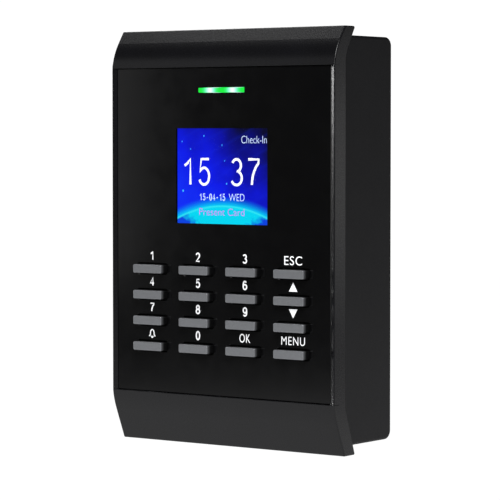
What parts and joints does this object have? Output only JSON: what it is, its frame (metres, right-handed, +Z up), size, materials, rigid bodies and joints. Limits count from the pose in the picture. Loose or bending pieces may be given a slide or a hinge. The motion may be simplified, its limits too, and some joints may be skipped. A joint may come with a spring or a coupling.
{
  "type": "access control terminal",
  "caption": "Wall-mounted access terminal: bowed black front cover, colour display, status light bar, keypad of raised bar keys, rear case and wall plate.",
  "frame": {"origin": "middle of the wall plate's back, on the wall plane", "axes": "+Z up, the front faces -Y, +Y points into the wall, X across the face"},
  "size_m": [0.092, 0.0366, 0.1396],
  "materials": {
    "cover_abs": "moulded ABS, satin black",
    "case_abs": "moulded ABS, fine spark texture, black",
    "panel_gloss": "black-printed acrylic panel, hard coated",
    "clear_acrylic": "clear acrylic over the display",
    "foam": "closed-cell foam",
    "bezel_steel": "stamped steel",
    "lcd_glass": "lit colour display",
    "white_plastic": "white polycarbonate",
    "flex_film": "polyimide film",
    "connector_plastic": "black nylon",
    "light_guide": "frosted acrylic lit green",
    "led": "lit lamp",
    "silicone": "moulded silicone",
    "carbon": "carbon contact",
    "board": "solder-masked glass epoxy",
    "chip": "moulded epoxy package",
    "relay_plastic": "blue relay case",
    "capacitor_can": "sleeved aluminium can",
    "crystal_can": "drawn metal can",
    "cell_steel": "nickel-plated steel",
    "sounder_plastic": "moulded plastic",
    "ribbon": "flat ribbon",
    "copper": "enamelled copper wire",
    "socket_nylon": "natural nylon",
    "pin_metal": "tinned pins",
    "plunger_plastic": "acetal",
    "spring_steel": "spring steel",
    "plate_steel": "zinc-plated pressed steel",
    "screw_steel": "zinc-plated steel",
    "key_plastic": "silver-grey lacquered plastic"
  },
  "bodies": {
    "root": {"front_cover": "cover_abs", "rear_case": "case_abs", "front_panel": "panel_gloss", "display_window": "clear_acrylic", "display_gasket": "foam", "display_bezel": "bezel_steel", "lcd_glass": "lcd_glass", "backlight": "white_plastic", "display_holder": "white_plastic", "display_flex": "flex_film", "flex_connector": "connector_plastic", "light_bar": "light_guide", "indicator_leds": "led", "keypad_mat": "silicone", "contact_pills": "carbon", "front_board": "board", "main_board": "board", "processor": "chip", "memory_chips": "chip", "network_transformer": "chip", "relay": "relay_plastic", "capacitors": "capacitor_can", "crystal": "crystal_can", "coin_cell_holder": "connector_plastic", "coin_cell": "cell_steel", "sounder": "sounder_plastic", "reader_chip": "chip", "ribbon_connectors": "connector_plastic", "ribbon_cable": "ribbon", "antenna_coil": "copper", "wiring_sockets": "socket_nylon", "socket_pins": "pin_metal", "tamper_switch": "connector_plastic", "tamper_spring": "spring_steel", "wall_plate": "plate_steel", "lock_screw": "screw_steel", "case_screws": "screw_steel", "board_screws": "screw_steel"},
    "key_0_body": {"key_0": "key_plastic"},
    "key_1_body": {"key_1": "key_plastic"},
    "key_2_body": {"key_2": "key_plastic"},
    "key_3_body": {"key_3": "key_plastic"},
    "key_4_body": {"key_4": "key_plastic"},
    "key_5_body": {"key_5": "key_plastic"},
    "key_6_body": {"key_6": "key_plastic"},
    "key_7_body": {"key_7": "key_plastic"},
    "key_8_body": {"key_8": "key_plastic"},
    "key_9_body": {"key_9": "key_plastic"},
    "key_esc_body": {"key_esc": "key_plastic"},
    "key_up_body": {"key_up": "key_plastic"},
    "key_down_body": {"key_down": "key_plastic"},
    "key_ok_body": {"key_ok": "key_plastic"},
    "key_menu_body": {"key_menu": "key_plastic"},
    "key_bell_body": {"key_bell": "key_plastic"},
    "tamper_plunger_body": {"tamper_plunger": "plunger_plastic"}
  },
  "joints": [
    {"name": "key_0_press", "type": "slide", "parent": "root", "child": "key_0_body", "axis": [0, 1, 0], "range_m": [0, 0.001], "stiffness_N_per_m": 400, "springref_m": -0.0015, "deforming": ["keypad_mat", "contact_pills"]},
    {"name": "key_1_press", "type": "slide", "parent": "root", "child": "key_1_body", "axis": [0, 1, 0], "range_m": [0, 0.001], "stiffness_N_per_m": 400, "springref_m": -0.0015, "deforming": ["keypad_mat", "contact_pills"]},
    {"name": "key_2_press", "type": "slide", "parent": "root", "child": "key_2_body", "axis": [0, 1, 0], "range_m": [0, 0.001], "stiffness_N_per_m": 400, "springref_m": -0.0015, "deforming": ["keypad_mat", "contact_pills"]},
    {"name": "key_3_press", "type": "slide", "parent": "root", "child": "key_3_body", "axis": [0, 1, 0], "range_m": [0, 0.001], "stiffness_N_per_m": 400, "springref_m": -0.0015, "deforming": ["keypad_mat", "contact_pills"]},
    {"name": "key_4_press", "type": "slide", "parent": "root", "child": "key_4_body", "axis": [0, 1, 0], "range_m": [0, 0.001], "stiffness_N_per_m": 400, "springref_m": -0.0015, "deforming": ["keypad_mat", "contact_pills"]},
    {"name": "key_5_press", "type": "slide", "parent": "root", "child": "key_5_body", "axis": [0, 1, 0], "range_m": [0, 0.001], "stiffness_N_per_m": 400, "springref_m": -0.0015, "deforming": ["keypad_mat", "contact_pills"]},
    {"name": "key_6_press", "type": "slide", "parent": "root", "child": "key_6_body", "axis": [0, 1, 0], "range_m": [0, 0.001], "stiffness_N_per_m": 400, "springref_m": -0.0015, "deforming": ["keypad_mat", "contact_pills"]},
    {"name": "key_7_press", "type": "slide", "parent": "root", "child": "key_7_body", "axis": [0, 1, 0], "range_m": [0, 0.001], "stiffness_N_per_m": 400, "springref_m": -0.0015, "deforming": ["keypad_mat", "contact_pills"]},
    {"name": "key_8_press", "type": "slide", "parent": "root", "child": "key_8_body", "axis": [0, 1, 0], "range_m": [0, 0.001], "stiffness_N_per_m": 400, "springref_m": -0.0015, "deforming": ["keypad_mat", "contact_pills"]},
    {"name": "key_9_press", "type": "slide", "parent": "root", "child": "key_9_body", "axis": [0, 1, 0], "range_m": [0, 0.001], "stiffness_N_per_m": 400, "springref_m": -0.0015, "deforming": ["keypad_mat", "contact_pills"]},
    {"name": "key_esc_press", "type": "slide", "parent": "root", "child": "key_esc_body", "axis": [0, 1, 0], "range_m": [0, 0.001], "stiffness_N_per_m": 400, "springref_m": -0.0015, "deforming": ["keypad_mat", "contact_pills"]},
    {"name": "key_up_press", "type": "slide", "parent": "root", "child": "key_up_body", "axis": [0, 1, 0], "range_m": [0, 0.001], "stiffness_N_per_m": 400, "springref_m": -0.0015, "deforming": ["keypad_mat", "contact_pills"]},
    {"name": "key_down_press", "type": "slide", "parent": "root", "child": "key_down_body", "axis": [0, 1, 0], "range_m": [0, 0.001], "stiffness_N_per_m": 400, "springref_m": -0.0015, "deforming": ["keypad_mat", "contact_pills"]},
    {"name": "key_ok_press", "type": "slide", "parent": "root", "child": "key_ok_body", "axis": [0, 1, 0], "range_m": [0, 0.001], "stiffness_N_per_m": 400, "springref_m": -0.0015, "deforming": ["keypad_mat", "contact_pills"]},
    {"name": "key_menu_press", "type": "slide", "parent": "root", "child": "key_menu_body", "axis": [0, 1, 0], "range_m": [0, 0.001], "stiffness_N_per_m": 400, "springref_m": -0.0015, "deforming": ["keypad_mat", "contact_pills"]},
    {"name": "key_bell_press", "type": "slide", "parent": "root", "child": "key_bell_body", "axis": [0, 1, 0], "range_m": [0, 0.001], "stiffness_N_per_m": 400, "springref_m": -0.0015, "deforming": ["keypad_mat", "contact_pills"]},
    {"name": "tamper_press", "type": "slide", "parent": "root", "child": "tamper_plunger_body", "axis": [0, 1, 0], "range_m": [-0.0008, 0], "stiffness_N_per_m": 200, "springref_m": 0.0015, "deforming": ["tamper_spring"]}
  ]
}
